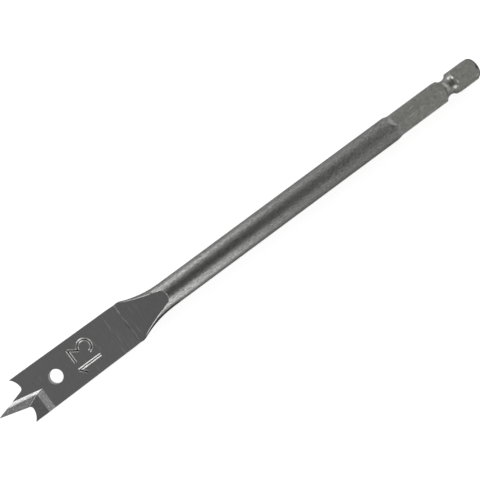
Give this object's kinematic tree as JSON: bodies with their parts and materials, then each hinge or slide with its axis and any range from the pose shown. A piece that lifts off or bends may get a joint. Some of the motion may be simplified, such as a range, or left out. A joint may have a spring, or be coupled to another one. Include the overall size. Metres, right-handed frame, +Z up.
{
  "type": "spade drill bit",
  "caption": "Flat wood-boring bit: paddle blade with a centre point and hollow-ground cutting edges, round shaft and grooved hex shank.",
  "frame": {"origin": "on the surface that the bit lies on, under the middle of its length", "axes": "+X along the bit's axis from the point to the hex shank, +Z up from the surface, +Y across; the blade is rolled about X so that the shaft lies on the surface and one long edge of the blade is just off it"},
  "size_m": [0.158, 0.0128, 0.0074],
  "materials": {
    "steel": "dark ground blade, bright ground cutting end, satin shaft"
  },
  "bodies": {
    "root": {"spade_bit": "steel"}
  },
  "joints": []
}
